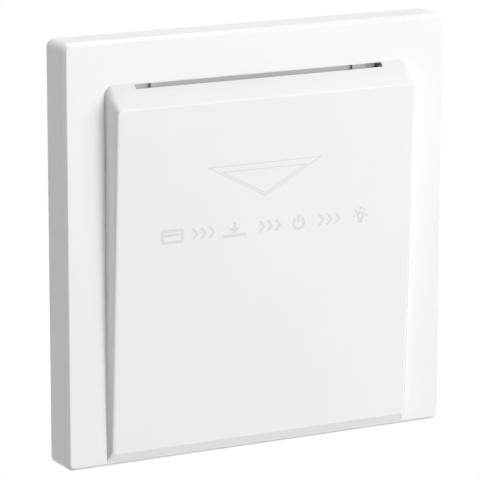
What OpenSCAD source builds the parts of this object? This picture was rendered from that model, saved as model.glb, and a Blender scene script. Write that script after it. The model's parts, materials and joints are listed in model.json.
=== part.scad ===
// Hotel key card switch: a clip-on cover with a card pocket, a sprung carriage and a double-pole switch.
// In every module x runs right, y up and z out of the wall. The last lines stand the switch on its wall.

/* [Cover plate] */
// Width of the cover plate
plate_w = 86; // [82:0.5:92]
// Height of the cover plate
plate_h = 86; // [82:0.5:92]
// Thickness of the cover plate, from the wall to its front
plate_t = 7.7; // [7.2:0.1:9]
// Wall of the cover, its panel included
cover_wall = 2; // [1.6:0.1:2.4]
// Corner radius of the plate, seen from the front
corner_r = 1.6; // [1.4:0.1:3]
// How far the bevel round the plate's front cuts in
edge_in = 0.65; // [0.3:0.05:1]
// How far that bevel runs back from the front
edge_back = 0.95; // [0.5:0.05:1.4]

/* [Card panel] */
// Width of the panel at its foot
panel_w = 68.6; // [67:0.2:71]
// How far each side of the panel leans in
panel_draft = 0.8; // [0.4:0.1:1.2]
// Radius of the two upper corners of the panel's foot
panel_corner_r = 2; // [1:0.1:3]
// Gap from the plate's top edge to the panel
panel_top_gap = 8.8; // [7:0.2:11]
// Height of the sloping roof that holds the card slot
roof_run = 4.45; // [4:0.05:5]
// Rise of the panel's front at the roof
panel_rise = 4.6; // [4:0.1:5.4]
// Rise of the panel's front at its lower fold
panel_rise_low = 1.16; // [0.8:0.02:1.6]
// Height of the lower fold above the plate's bottom edge
fold_h = 2.7; // [2:0.1:4]

/* [Card slot] */
// Width of the card slot
slot_w = 55.8; // [55:0.1:58]
// Gap that the card slides in
slot_gap = 0.95; // [0.85:0.05:1.1]
// Height of the slot's back edge over the plate, on the roof
slot_back = 0.15; // [0.1:0.05:0.6]
// Thickness of the ribs in the card pocket
rib_t = 1.2; // [0.8:0.1:1.6]
// Distance between the ribs in the card pocket
rib_pitch = 16; // [14:0.5:18]

/* [Card guide] */
// Thickness of the guide behind the card
guide_t = 1.6; // [1.2:0.1:2]
// Play between the guide and the cover's walls
guide_play = 1; // [0.6:0.1:1.4]
// Reach of the guide's tongue to the left
tongue_left = 24.3; // [22:0.1:25]
// Reach of the guide's tongue to the right
tongue_right = 20.1; // [19:0.1:22]
// Width of the small finger to the right of the tongue
finger_w = 3; // [2:0.1:3.5]
// Width of the grooves beside the tongue
tongue_gap = 1.2; // [0.5:0.1:1.5]
// Depth of the grooves beside the tongue
groove_d = 0.6; // [0.4:0.1:0.8]
// Depth of the step at the slot's right end, less than the guide's thickness
end_d = 1.4; // [0.8:0.1:1.5]
// Radius of the four posts that carry the guide
post_r = 3.2; // [3:0.1:3.6]

/* [Mounting frame] */
// Gap between the cover's walls and the frame
frame_gap = 3; // [2:0.2:4]
// Thickness of the frame's sheet steel
frame_t = 1.2; // [1:0.1:1.5]
// Distance between the two fixing holes
fixing_centres = 60.3; // [58:0.1:62]
// Radius of the fixing holes
fixing_r = 2; // [1.8:0.05:2.3]

/* [Cover pegs] */
// Radius of the cover's pegs
peg_r = 1.5; // [1.2:0.1:1.8]
// Wall of the sockets that take the pegs
socket_wall = 1.45; // [1.2:0.05:1.8]
// Height of the sockets over the frame
socket_h = 3.2; // [2.6:0.1:3.6]

/* [Card carriage] */
// Height of the card rest's top edge, from the middle of the plate
rest_y = -18; // [-19:0.2:-16]
// Width of the card rest
rest_w = 26; // [22:0.5:28]
// Height of the card rest
rest_h = 3.5; // [3.3:0.1:4]
// Travel of the card rest when a card goes in
travel = 5; // [4:0.1:5.2]
// Push of the cam on the plunger for each millimetre of travel
cam_slope = 0.27; // [0.24:0.005:0.29]
// Width of the cam slide
slide_w = 26; // [25:0.2:27]
// Thickness of the cam slide
slide_t = 5.9; // [5.4:0.1:6]
// Height of the cam slide's wide part
wing_h = 11.2; // [10.6:0.1:12]
// Thickness of the stem below the wide part
stem_t = 3.9; // [3.4:0.1:4.2]
// Width of the stem
stem_w = 10; // [8:0.2:11]
// Width of the neck that joins the rest to the stem
neck_w = 7; // [6:0.1:7.6]

/* [Switch housing] */
// Width of the switch housing
housing_w = 46; // [45:0.5:48]
// Height of the switch housing
housing_h = 58; // [57:0.5:60]
// Depth of the switch housing behind the frame
housing_d = 27; // [26.5:0.1:30]
// Wall of the switch housing
housing_wall = 2; // [1.6:0.1:2.2]
// Depth of the front chamber, where the cam slide runs
chamber_d = 7; // [7:0.1:7.6]
// Thickness of the lid between the two chambers
lid_t = 2; // [1.6:0.1:2.4]
// Radius of the bosses that take the long screws
boss_r = 3; // [2.6:0.1:3.2]

/* [Contacts] */
// Height of the plunger above the middle of the plate
plunger_y = 1; // [0:0.1:2]
// Radius of the plunger
plunger_r = 3; // [2.6:0.1:3.2]
// Lever from an arm's pivot to the plunger
push_lever = 8; // [7.5:0.1:9]
// Lever from an arm's pivot to its contact
contact_lever = 18; // [17:0.1:18.6]
// Distance of each pole from the middle
pole_x = 11; // [10.6:0.1:11.6]
// Width of a contact arm
arm_w = 5; // [4:0.1:5.4]
// Thickness of a contact arm
arm_t = 1; // [0.8:0.1:1.2]
// Radius of the pivot pins
pin_r = 1; // [0.8:0.05:1.1]
// Radius of a contact button
contact_r = 1.6; // [1.2:0.1:1.9]
// Height of a contact button
contact_h = 1; // [0.8:0.1:1.2]

/* [Terminals] */
// Width of a terminal block
terminal_w = 9; // [8.6:0.1:9.6]
// Length of a terminal block along its wire
terminal_l = 10; // [9:0.1:10.4]
// Radius of the hole for the wire
wire_r = 1.8; // [1.4:0.05:2]
// Size of the earth terminal block
earth_size = 8; // [7.6:0.1:8.6]

/* [Screws] */
// Radius of the long screws' shanks
screw_r = 1.4; // [1.2:0.05:1.5]
// Radius of a screw head
head_r = 2.4; // [2.2:0.05:2.5]
// Height of a screw head
head_h = 1.5; // [1.2:0.1:1.6]

/* [Springs] */
// Length of the carriage springs at rest
carriage_spring_l = 14; // [13:0.1:14.6]
// Radius of the carriage springs at the middle of the wire
carriage_spring_r = 1.9; // [1.75:0.05:2.1]
// Radius of the contact springs at the middle of the wire
contact_spring_r = 1.6; // [1.5:0.05:1.8]
// Radius of the spring wire
spring_wire_r = 0.25; // [0.2:0.01:0.32]
// Turns of a carriage spring
carriage_spring_turns = 8; // [6:1:9]
// Turns of a contact spring
contact_spring_turns = 6; // [4:1:7]

/* [Hidden] */
$fn = 48;
// Overlap of shapes that are joined or cut
eps = 0.02;
// Running clearance of a pin, rod or screw in its bore, on the radius
run_fit = 0.05;
// Clearance beside a sliding face
slide_fit = 0.1;
// Room left between pieces that pass each other
pass_gap = 0.3;
// How far a cut runs past the face that it opens
cut_over = 1;
// Sides of a spring's wire, and steps in one turn of it
coil_sides = 6;
coil_steps = 8;

// Cover plate and panel
half_w = plate_w / 2;
half_h = plate_h / 2;
panel_half = panel_w / 2;
panel_top = half_h - panel_top_gap;
roof_edge = panel_top - roof_run;
fold_y = fold_h - half_h;
panel_slope = (panel_rise - panel_rise_low) / (roof_edge - fold_y);
roof_slope = roof_run / panel_rise;
panel_in_half = panel_half - panel_draft - cover_wall;
function front_z(y) = plate_t + panel_rise + panel_slope * (y - roof_edge);
function inner_z(y) = front_z(y) - cover_wall;
// Where the inside of the roof meets the inside of the front
roof_in_top = panel_top - cover_wall * norm([roof_run, panel_rise]) / panel_rise;
roof_in_edge = (roof_in_top - roof_slope * (panel_rise - cover_wall - panel_slope * roof_edge))
    / (1 + roof_slope * panel_slope);
// Radius of the corners of the panel's front
soft_r = 0.4;
// The panel's heel, a tenth of the way down the plate's bevel, so that the chamfer runs into it
heel_share = 0.1;
heel_y = edge_in * (1 - heel_share) - half_h;
heel_z = plate_t - edge_back * heel_share;
// How far the panel's foot and its ribs run into the walls that carry them
foot_sink = 1;
rib_root = 0.5;

// Card pocket, which lies parallel to the panel's front
slot_y = panel_top - slot_back * roof_slope;
function pocket_z(y) = plate_t + slot_back + panel_slope * (y - slot_y);
rib_gap = 4;
rib_low = rest_y + rib_gap;
rib_top = roof_in_edge;
// Solid end of the notch for the guide's tongue
notch_end = 0.4;

// Frame and sockets
frame_w = plate_w - 2 * (cover_wall + frame_gap);
frame_h = plate_h - 2 * (cover_wall + frame_gap);
frame_r = 3;
socket_r = peg_r + run_fit + socket_wall;
socket_inset = 1;
peg_x = frame_w / 2 - socket_r - socket_inset;
peg_y = frame_h / 2 - socket_r - socket_inset;
// A peg stands on the plate's back, or on the panel's where the panel is hollow
function peg_under_panel(y) = peg_x + peg_r < panel_in_half && y < roof_in_top;
function peg_top(y) = (peg_under_panel(y) ? inner_z(y) + cover_wall : plate_t) - cover_wall / 2;
frame_window_gap = 2;
head_room = 5;

// Housing, which hangs a little low behind the frame
housing_y = -2;
housing_r = 2.4;
housing_top = housing_y + housing_h / 2;
housing_low = housing_y - housing_h / 2;
room_half = housing_w / 2 - housing_wall;
room_top = housing_top - housing_wall;
room_low = housing_low + housing_wall;
floor_z = housing_wall - housing_d;
boss_inset = 9;
boss_sink = 0.6;
boss_d = 12;
boss_end = 1;
boss_x = room_half - boss_r + boss_sink;
boss_ys = [housing_low + boss_inset, housing_top - boss_inset];

// Guide
guide_half = panel_in_half - guide_play;
guide_top = roof_in_top - guide_play;
guide_low_gap = 8;
guide_low = fold_y + cover_wall + guide_low_gap;
guide_window_gap = 0.5;
tongue_root = 1;
post_top_gap = 0.4;
// Room round a screw head, and how deep the head lies
head_fit = 0.2;
head_sink = 0.7;
// How far a screw's tip stays off the end of its hole
tip_gap = 1;
function guide_seat(y) = pocket_z(y) - head_sink - head_h;

// Carriage
rest_low = rest_y - rest_h;
rest_back = pocket_z(rest_y) + slide_fit;
rest_front = inner_z(rest_low - travel) - pass_gap;
ramp_spare = 1.2;
slide_top = plunger_y + travel + ramp_spare;
wing_low = slide_top - wing_h;
slide_front = -slide_fit;
slide_back = slide_front - slide_t;
stem_back = slide_front - stem_t;
ramp_lead = 3;
ramp_low = plunger_y - ramp_lead;
function ramp_z(y) = stem_back - cam_slope * (y - ramp_low);
ramp_side = 0.6;
ramp_half = plunger_r + ramp_side;
stem_over = 1;
cam_screw_r = 1.2;
cam_thread = 3;
seat_y = wing_low - carriage_spring_l;
carriage_spring_out = 1;
carriage_spring_x = (stem_w + slide_w) / 4 + carriage_spring_out;
carriage_spring_sink = 3.4;
carriage_spring_z = slide_front - carriage_spring_sink;
spigot_l = 3;
carriage_spigot_r = coil_inner_r(carriage_spring_r) - slide_fit;
rail_t = 1.6;
rail_spare_low = 2;
rail_spare_top = 4;
runner_w = 2;
lug_t = 3;
lug_side = 0.8;
lug_drop = 0.6;

// Lid, plunger and contact arms
lid_front = -chamber_d;
lid_back = lid_front - lid_t;
collar_wall = 2.5;
collar_h = 3;
collar_back = lid_back - collar_h;
bar_gap = 0.6;
bar_front = collar_back - bar_gap;
bar_half = 1;
foot_z = bar_front - bar_half;
touch_gap = 0.08;
nose_z = ramp_z(plunger_y) - (plunger_r + run_fit) * sqrt(1 + cam_slope * cam_slope);
arm_front = foot_z - bar_half - touch_gap;
pivot_z = arm_front - arm_t / 2;
pivot_y = plunger_y + push_lever;
contact_y = pivot_y - contact_lever;
knuckle_wall = 0.9;
knuckle_r = pin_r + knuckle_wall;
contact_rim = 0.6;
arm_back = arm_front - arm_t;
swing = travel * cam_slope / push_lever * 180 / PI;
dome_r = 3;
dome_rise = dome_r - contact_h - arm_t / 2;
closed_z = pivot_z - contact_lever * sin(swing) + dome_rise * cos(swing) - dome_r;
closed_gap = 0.06;
fixed_front = closed_z - closed_gap;
lid_boss_r = 2.6;
lid_boss_low = 3.5;
lid_boss_high = 4.5;
lid_boss_ys = [room_low + lid_boss_low, room_top - lid_boss_high];
lid_thread = 6;
divider_t = 1.6;
divider_gap = 3;
divider_front = pivot_z - divider_gap;
contact_spring_up = 7;
contact_spring_y = contact_y + contact_spring_up;
contact_spigot_h = 2.5;
contact_spigot_r = coil_inner_r(contact_spring_r) - slide_fit;
contact_spring_l = arm_back - floor_z - 2 * touch_gap;

// Terminals
ear_rise = 1.2;
terminal_front = pivot_z + ear_rise;
wire_sink = 4;
wire_z = terminal_front - wire_sink;
// Room round a wire, or round a terminal screw's head, where the housing lets it through
pass_room = 0.4;
terminal_in_y = room_top - terminal_l / 2;
terminal_out_y = room_low + terminal_l / 2;
ear_t = 1.3;
ear_gap = 0.2;
wire_stop = 2;
wire_depth = terminal_l - wire_stop;
terminal_screw_r = 1.5;
terminal_screw_tip = wire_z - wire_r - slide_fit;
strip_t = 1.2;
earth_gap = 2;
earth_x = housing_w / 2 + earth_gap + earth_size / 2;
earth_up = 5;
earth_y = housing_low + earth_up;
earth_wire_drop = 0.4;
earth_tip_gap = 0.5;

// Slot across a screw head
head_slot_w = 0.7;
head_slot_d = 0.8;

echo(str("Turns of a carriage spring stand ",
    coil_gap(carriage_spring_r, carriage_spring_l - spring_wire_r * 2, carriage_spring_turns), " mm apart"));
echo(str("Turns of a contact spring stand ",
    coil_gap(contact_spring_r, contact_spring_l - spring_wire_r * 2, contact_spring_turns), " mm apart"));

// Shapes that several pieces share

module rounded_plate(w, h, t, r) {
    linear_extrude(t) {
        square([w - 2 * r, h], center = true);
        square([w, h - 2 * r], center = true);
        for (x = [r - w / 2, w / 2 - r], y = [r - h / 2, h / 2 - r]) {
            translate([x, y]) circle(r);
        }
    }
}

// A box between two corners
module block(low, high) {
    translate(low) cube(high - low);
}

// A shape and its mirror image on the left
module both_sides() {
    children();
    mirror([1, 0, 0]) children();
}

// A rod or bore along x, centred on its length
module rod_x(r, length) {
    rotate([0, 90, 0]) cylinder(r = r, h = length, center = true);
}

// An outline in y and z, drawn along x from x0 to x1
module along_x(x0, x1) {
    translate([x0, 0, 0]) rotate([90, 0, 90]) linear_extrude(x1 - x0) children();
}

// A pan-head screw whose shank points to -z, with its head on z = 0
module screw(r, length) {
    difference() {
        union() {
            cylinder(r = head_r, h = head_h);
            translate([0, 0, -length]) cylinder(r = r, h = length + eps);
        }
        block([-head_r, -head_slot_w / 2, head_h - head_slot_d],
            [head_r, head_slot_w / 2, head_h + cut_over]);
    }
}

function coil_point(r, length, turns, i) =
    let (a = 360 * i / coil_steps)
    [r * cos(a), r * sin(a), length * i / (coil_steps * turns)];
function coil_inner_r(r) = r * cos(180 / coil_steps) - spring_wire_r;
function coil_gap(r, length, turns) = min([
    for (i = [0 : coil_steps * (turns - 1)])
        norm(coil_point(r, length, turns, i + coil_steps) - coil_point(r, length, turns, i))
]) - 2 * spring_wire_r;

// A coil spring along z, as one tube that starts and ends on a wire's radius
module coil(r, length, turns) {
    rings = coil_steps * turns;
    points = [
        for (i = [0 : rings], k = [0 : coil_sides - 1])
            let (a = 360 * i / coil_steps, b = 360 * k / coil_sides)
            coil_point(r, length, turns, i)
                + spring_wire_r * [cos(b) * cos(a), cos(b) * sin(a), sin(b)]
    ];
    function at(i, k) = i * coil_sides + k % coil_sides;
    skin = [
        for (i = [0 : rings - 1], k = [0 : coil_sides - 1])
            each [[at(i, k), at(i, k + 1), at(i + 1, k)], [at(i, k + 1), at(i + 1, k + 1), at(i + 1, k)]]
    ];
    first_end = [for (k = [1 : coil_sides - 2]) [at(0, 0), at(0, k + 1), at(0, k)]];
    last_end = [for (k = [1 : coil_sides - 2]) [at(rings, 0), at(rings, k), at(rings, k + 1)]];
    polyhedron(points, concat(skin, first_end, last_end));
}

// Cover

module plate_form() {
    hull() for (x = [corner_r - half_w, half_w - corner_r], y = [corner_r - half_h, half_h - corner_r]) {
        translate([x, y, 0]) {
            cylinder(r = corner_r, h = plate_t - edge_back, $fn = 32);
            cylinder(r = corner_r - edge_in, h = plate_t, $fn = 32);
        }
    }
}

module panel_form() {
    front_half = panel_half - panel_draft;
    hull() {
        for (s = [-1, 1]) {
            translate([s * (panel_half - panel_corner_r), panel_top - panel_corner_r, plate_t - foot_sink])
                cylinder(r = panel_corner_r, h = foot_sink, $fn = 32);
            translate([s * (panel_half - soft_r), heel_y + soft_r, heel_z - eps])
                cylinder(r = soft_r, h = eps, $fn = 32);
            translate([s * (front_half - soft_r), roof_edge - soft_r, front_z(roof_edge - soft_r) - eps])
                cylinder(r = soft_r, h = eps, $fn = 32);
            translate([s * (front_half - soft_r), fold_y + soft_r, front_z(fold_y + soft_r) - eps])
                cylinder(r = soft_r, h = eps, $fn = 32);
        }
    }
}

module panel_hollow() {
    low = fold_y + cover_wall;
    base = plate_t - cover_wall - cut_over;
    along_x(-panel_in_half, panel_in_half) polygon([
        [low, base], [low, inner_z(low)], [roof_in_edge, inner_z(roof_in_edge)],
        [roof_in_top + roof_slope * (plate_t - base), base]
    ]);
}

module pocket_rib(x0, x1, back_gap) {
    along_x(x0, x1) polygon([
        [rib_low, inner_z(rib_low) + rib_root], [rib_low, pocket_z(rib_low) + back_gap],
        [rib_top, pocket_z(rib_top) + back_gap], [rib_top, inner_z(rib_top) + rib_root]
    ]);
}

module front_cover() {
    slot_low = roof_in_edge - 2 * cut_over;
    slot_high = panel_top + 2 * cut_over;
    notch_right = slot_w / 2 - notch_end;
    color("white") {
        difference() {
            union() {
                plate_form();
                panel_form();
            }
            block([cover_wall - half_w, cover_wall - half_h, -cut_over],
                [half_w - cover_wall, half_h - cover_wall, plate_t - cover_wall]);
            panel_hollow();
            along_x(-slot_w / 2, slot_w / 2) polygon([
                for (y = [slot_low, slot_high]) [y, pocket_z(y)],
                for (y = [slot_high, slot_low]) [y, pocket_z(y) + slot_gap]
            ]);
            block([-slot_w / 2, roof_in_edge, 0], [notch_right, slot_y, pocket_z(slot_y)]);
        }
        both_sides() pocket_rib(slot_w / 2, slot_w / 2 + rib_t, slide_fit);
        for (x = [-rib_pitch, 0, rib_pitch]) {
            pocket_rib(x - rib_t / 2, x + rib_t / 2, slot_gap);
        }
        for (x = [-peg_x, peg_x], y = [-peg_y, peg_y]) {
            translate([x, y, frame_t + pass_gap])
                cylinder(r = peg_r, h = peg_top(y) - frame_t - pass_gap);
        }
    }
}

// Frame and what it carries

module mounting_frame() {
    window_half = neck_w / 2 + frame_window_gap;
    cut_h = frame_t + 2 * cut_over;
    color("silver") difference() {
        rounded_plate(frame_w, frame_h, frame_t, frame_r);
        for (x = [-1, 1] * fixing_centres / 2) {
            translate([x, 0, -cut_over]) cylinder(r = fixing_r, h = cut_h);
        }
        for (x = [-boss_x, boss_x], y = boss_ys) {
            translate([x, y, -cut_over]) cylinder(r = screw_r + slide_fit, h = cut_h);
        }
        block([-window_half, rest_low - travel - frame_window_gap, -cut_over],
            [window_half, rest_y + frame_window_gap, frame_t + cut_over]);
    }
}

module cover_sockets() {
    color("whitesmoke") for (x = [-peg_x, peg_x], y = [-peg_y, peg_y]) {
        translate([x, y, frame_t]) difference() {
            cylinder(r = socket_r, h = socket_h);
            translate([0, 0, -cut_over]) cylinder(r = peg_r + run_fit, h = socket_h + 2 * cut_over);
        }
    }
}

module guide_slab(y0, y1, x0, x1, sunk = 0) {
    along_x(x0, x1) polygon([
        [y0, pocket_z(y0) - guide_t], [y1, pocket_z(y1) - guide_t],
        [y1, pocket_z(y1) - sunk], [y0, pocket_z(y0) - sunk]
    ]);
}

module card_guide() {
    window_half = neck_w / 2 + guide_window_gap;
    tongue_top = slot_y - slide_fit;
    tongue_foot = guide_top - tongue_root;
    tongue_end = slot_w / 2 - slide_fit;
    finger_x = tongue_right + tongue_gap;
    color("gainsboro") difference() {
        union() {
            guide_slab(guide_low, guide_top, -guide_half, guide_half);
            guide_slab(tongue_foot, tongue_top, -tongue_left, tongue_right);
            guide_slab(tongue_foot, tongue_top, finger_x, finger_x + finger_w);
            guide_slab(tongue_foot, tongue_top, -tongue_end, -tongue_left - tongue_gap);
            guide_slab(tongue_foot, tongue_top, -tongue_end, finger_x + finger_w, groove_d);
            translate([0, 0, -end_d]) guide_slab(tongue_foot, tongue_top, finger_x, tongue_end - notch_end);
            for (x = [-boss_x, boss_x], y = boss_ys) {
                translate([x, y, frame_t])
                    cylinder(r = post_r, h = pocket_z(y - post_r) - post_top_gap - frame_t);
            }
        }
        for (x = [-boss_x, boss_x], y = boss_ys) {
            translate([x, y, 0]) cylinder(r = screw_r + slide_fit, h = plate_t * 2);
            translate([x, y, guide_seat(y)]) cylinder(r = head_r + head_fit, h = plate_t);
        }
        for (x = [-1, 1] * fixing_centres / 2) {
            translate([x, 0, 0]) cylinder(r = head_room, h = plate_t * 2);
        }
        block([-window_half, rest_low - travel - guide_window_gap, 0],
            [window_half, rest_y + guide_window_gap, plate_t * 2]);
    }
}

module guide_screws() {
    color("lightsteelblue") for (x = [-boss_x, boss_x], y = boss_ys) {
        translate([x, y, guide_seat(y)]) screw(screw_r, guide_seat(y) + boss_d - boss_end - tip_gap);
    }
}

// Carriage

module card_rest() {
    screw_y = rest_y - rest_h / 2;
    color("gainsboro") difference() {
        union() {
            block([-rest_w / 2, rest_low, rest_back], [rest_w / 2, rest_y, rest_front]);
            block([-neck_w / 2, rest_low, slide_front], [neck_w / 2, rest_y, rest_back + eps]);
        }
        translate([0, screw_y, slide_front - cut_over])
            cylinder(r = cam_screw_r + run_fit, h = cut_over + cam_thread + tip_gap);
    }
}

module cam_slide() {
    screw_y = rest_y - rest_h / 2;
    color("ivory") {
        difference() {
            union() {
                both_sides() {
                    block([ramp_half - eps, wing_low, slide_back], [slide_w / 2, slide_top, slide_front]);
                    translate([carriage_spring_x, wing_low + eps, carriage_spring_z])
                        rotate([90, 0, 0]) cylinder(r = carriage_spigot_r, h = spigot_l);
                }
                along_x(-ramp_half, ramp_half) polygon([
                    [wing_low, slide_front], [slide_top, slide_front], [slide_top, ramp_z(slide_top)],
                    [ramp_low, stem_back], [wing_low, stem_back]
                ]);
                    block([-stem_w / 2, rest_low - stem_over, stem_back],
                    [stem_w / 2, wing_low + eps, slide_front]);
            }
            translate([0, screw_y, stem_back - cut_over]) {
                cylinder(r = cam_screw_r + run_fit, h = stem_t + 2 * cut_over);
                cylinder(r = head_r + run_fit, h = cut_over + head_h + head_fit);
            }
        }
    }
}

module cam_screw() {
    color("lightsteelblue") translate([0, rest_y - rest_h / 2, stem_back + head_h + head_fit])
        rotate([180, 0, 0]) screw(cam_screw_r, stem_t - head_h + cam_thread);
}

module carriage_spring(side) {
    inset = spring_wire_r + touch_gap;
    color("slategray") translate([side * carriage_spring_x, wing_low - inset, carriage_spring_z])
        rotate([90, 0, 0]) coil(carriage_spring_r, carriage_spring_l - 2 * inset, carriage_spring_turns);
}

module carriage_spring_left() {
    carriage_spring(-1);
}

module carriage_spring_right() {
    carriage_spring(1);
}

// Switch

module chamber_lid() {
    lug_half = carriage_spring_r + spring_wire_r + lug_side;
    lug_front = carriage_spring_z + lug_half - lug_drop;
    rail_low = wing_low - travel - rail_spare_low;
    rail_top = slide_top + rail_spare_top;
    rail_in = slide_w / 2 + slide_fit;
    runner_in = rail_in - runner_w;
    runner_front = slide_back - slide_fit;
    collar_cut = lid_front - collar_back + 2 * cut_over;
    lid_cut = lid_t + 2 * cut_over;
    color("ivory") difference() {
        union() {
            block([-room_half + slide_fit, room_low + slide_fit, lid_back],
                [room_half - slide_fit, room_top - slide_fit, lid_front]);
            translate([0, plunger_y, collar_back])
                cylinder(r = plunger_r + collar_wall, h = lid_back - collar_back + eps);
            both_sides() {
                block([rail_in, rail_low, lid_front - eps], [rail_in + rail_t, rail_top, -pass_gap]);
                block([runner_in, rail_low, lid_front - eps], [rail_in + eps, rail_top, runner_front]);
                translate([carriage_spring_x, seat_y, 0]) {
                    block([-lug_half, -lug_t, lid_front - eps], [lug_half, 0, lug_front]);
                    translate([0, -eps, carriage_spring_z])
                        rotate([-90, 0, 0]) cylinder(r = carriage_spigot_r, h = spigot_l);
                }
            }
        }
        translate([0, plunger_y, collar_back - cut_over]) cylinder(r = plunger_r + run_fit, h = collar_cut);
        for (x = [-boss_x, boss_x], y = boss_ys) {
            translate([x, y, lid_back - cut_over]) cylinder(r = boss_r + pass_gap, h = lid_cut);
        }
        for (y = lid_boss_ys) {
            translate([0, y, lid_back - cut_over]) cylinder(r = screw_r + run_fit, h = lid_cut);
        }
    }
}

module lid_screws() {
    color("lightsteelblue") for (y = lid_boss_ys) {
        translate([0, y, lid_front]) screw(screw_r, lid_t + lid_thread);
    }
}

module plunger() {
    bar_end = pole_x + arm_w / 2;
    color("whitesmoke") {
        translate([0, plunger_y, nose_z]) rotate_extrude() intersection() {
            circle(plunger_r);
            square(plunger_r);
        }
        translate([0, plunger_y, bar_front - eps]) cylinder(r = plunger_r, h = nose_z - bar_front + 2 * eps);
        block([-bar_end, plunger_y - bar_half, foot_z], [bar_end, plunger_y + bar_half, bar_front]);
        translate([0, plunger_y, foot_z]) rod_x(bar_half, 2 * bar_end);
    }
}

module switch_housing() {
    lid_hole = lid_thread + 2 * tip_gap;
    wall_cut = housing_wall + 2 * cut_over;
    color("whitesmoke") {
        difference() {
            union() {
                difference() {
                    translate([0, housing_y, -housing_d])
                        rounded_plate(housing_w, housing_h, housing_d, housing_r);
                    block([-room_half, room_low, floor_z], [room_half, room_top, 1]);
                }
                for (x = [-boss_x, boss_x], y = boss_ys) {
                    translate([x, y, -boss_d]) cylinder(r = boss_r, h = boss_d);
                }
                for (y = lid_boss_ys) {
                    translate([0, y, floor_z - eps]) cylinder(r = lid_boss_r, h = lid_back - floor_z + eps);
                }
                block([-divider_t / 2, room_low - eps, floor_z - eps],
                    [divider_t / 2, room_top + eps, divider_front]);
                for (x = [-pole_x, pole_x]) {
                    translate([x, contact_spring_y, floor_z - eps])
                        cylinder(r = contact_spigot_r, h = contact_spigot_h);
                }
            }
            for (x = [-boss_x, boss_x], y = boss_ys) {
                translate([x, y, boss_end - boss_d]) cylinder(r = screw_r + run_fit, h = boss_d);
            }
            for (y = lid_boss_ys) {
                translate([0, y, lid_back - lid_hole])
                    cylinder(r = screw_r + run_fit, h = lid_hole + cut_over);
            }
            for (x = [-pole_x, pole_x], y = [terminal_in_y, terminal_out_y]) {
                translate([x, y, -housing_d - cut_over])
                    cylinder(r = head_r + pass_room, h = wall_cut);
            }
            for (x = [-pole_x, pole_x], y = [housing_low - cut_over, room_top - cut_over]) {
                translate([x, y, wire_z])
                    rotate([-90, 0, 0]) cylinder(r = wire_r + pass_room, h = wall_cut);
            }
        }
    }
}

module contact_arm(x) {
    color("darkkhaki") translate([x, 0, 0]) difference() {
        union() {
            block([-arm_w / 2, contact_y - contact_r - contact_rim, arm_back],
                [arm_w / 2, pivot_y, arm_front]);
            translate([0, pivot_y, pivot_z]) rod_x(knuckle_r, arm_w);
        }
        translate([0, pivot_y, pivot_z]) rod_x(pin_r + run_fit, 2 * arm_w);
    }
}

module contact_arm_line() {
    contact_arm(pole_x);
}

module contact_arm_neutral() {
    contact_arm(-pole_x);
}

module moving_contacts() {
    color("gold") for (x = [-pole_x, pole_x]) {
        translate([x, contact_y, arm_back - contact_h + dome_r]) rotate([180, 0, 0])
            rotate_extrude() intersection() {
                circle(dome_r);
                translate([0, dome_r - contact_h]) square([contact_r, contact_h]);
            }
    }
}

module fixed_contacts() {
    color("gold") for (x = [-pole_x, pole_x]) {
        translate([x, contact_y, fixed_front - contact_h]) cylinder(r = contact_r, h = contact_h);
    }
}

module pivot_pins() {
    pin_half = arm_w / 2 + ear_gap + ear_t;
    color("lightsteelblue") for (x = [-pole_x, pole_x]) {
        translate([x, pivot_y, pivot_z]) rod_x(pin_r, 2 * pin_half);
    }
}

module terminal_block(x, y, side) {
    difference() {
        block([x - terminal_w / 2, y - terminal_l / 2, floor_z],
            [x + terminal_w / 2, y + terminal_l / 2, terminal_front]);
        translate([x, y + side * (terminal_l / 2 + cut_over), wire_z])
            rotate([side * 90, 0, 0]) cylinder(r = wire_r, h = wire_depth + cut_over);
        translate([x, y, floor_z - cut_over])
            cylinder(r = terminal_screw_r + run_fit, h = wire_z - floor_z + cut_over);
    }
}

module in_terminal(x) {
    ear_x = (arm_w + ear_t) / 2 + ear_gap;
    color("goldenrod") {
        terminal_block(x, terminal_in_y, 1);
        translate([x, 0, 0]) both_sides() translate([ear_x, 0, 0]) difference() {
            union() {
                block([-ear_t / 2, pivot_y, pivot_z - knuckle_r],
                    [ear_t / 2, room_top - terminal_l + eps, terminal_front]);
                translate([0, pivot_y, pivot_z]) rod_x(knuckle_r, ear_t);
            }
            translate([0, pivot_y, pivot_z]) rod_x(pin_r + run_fit / 2, ear_t + 2 * cut_over);
        }
    }
}

module out_terminal(x) {
    strip_front = fixed_front - contact_h;
    color("goldenrod") {
        terminal_block(x, terminal_out_y, -1);
        block([x - arm_w / 2, room_low + terminal_l - eps, strip_front - strip_t],
            [x + arm_w / 2, contact_y + contact_r + contact_rim, strip_front]);
    }
}

module line_in_terminal() {
    in_terminal(pole_x);
}

module line_out_terminal() {
    out_terminal(pole_x);
}

module neutral_in_terminal() {
    in_terminal(-pole_x);
}

module neutral_out_terminal() {
    out_terminal(-pole_x);
}

module terminal_screws() {
    color("lightsteelblue") for (x = [-pole_x, pole_x], y = [terminal_in_y, terminal_out_y]) {
        translate([x, y, floor_z]) rotate([180, 0, 0])
            screw(terminal_screw_r, terminal_screw_tip - floor_z);
    }
}

module contact_spring(x) {
    color("slategray") translate([x, contact_spring_y, floor_z + touch_gap + spring_wire_r])
        coil(contact_spring_r, contact_spring_l - 2 * spring_wire_r, contact_spring_turns);
}

module contact_spring_line() {
    contact_spring(pole_x);
}

module contact_spring_neutral() {
    contact_spring(-pole_x);
}

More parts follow.
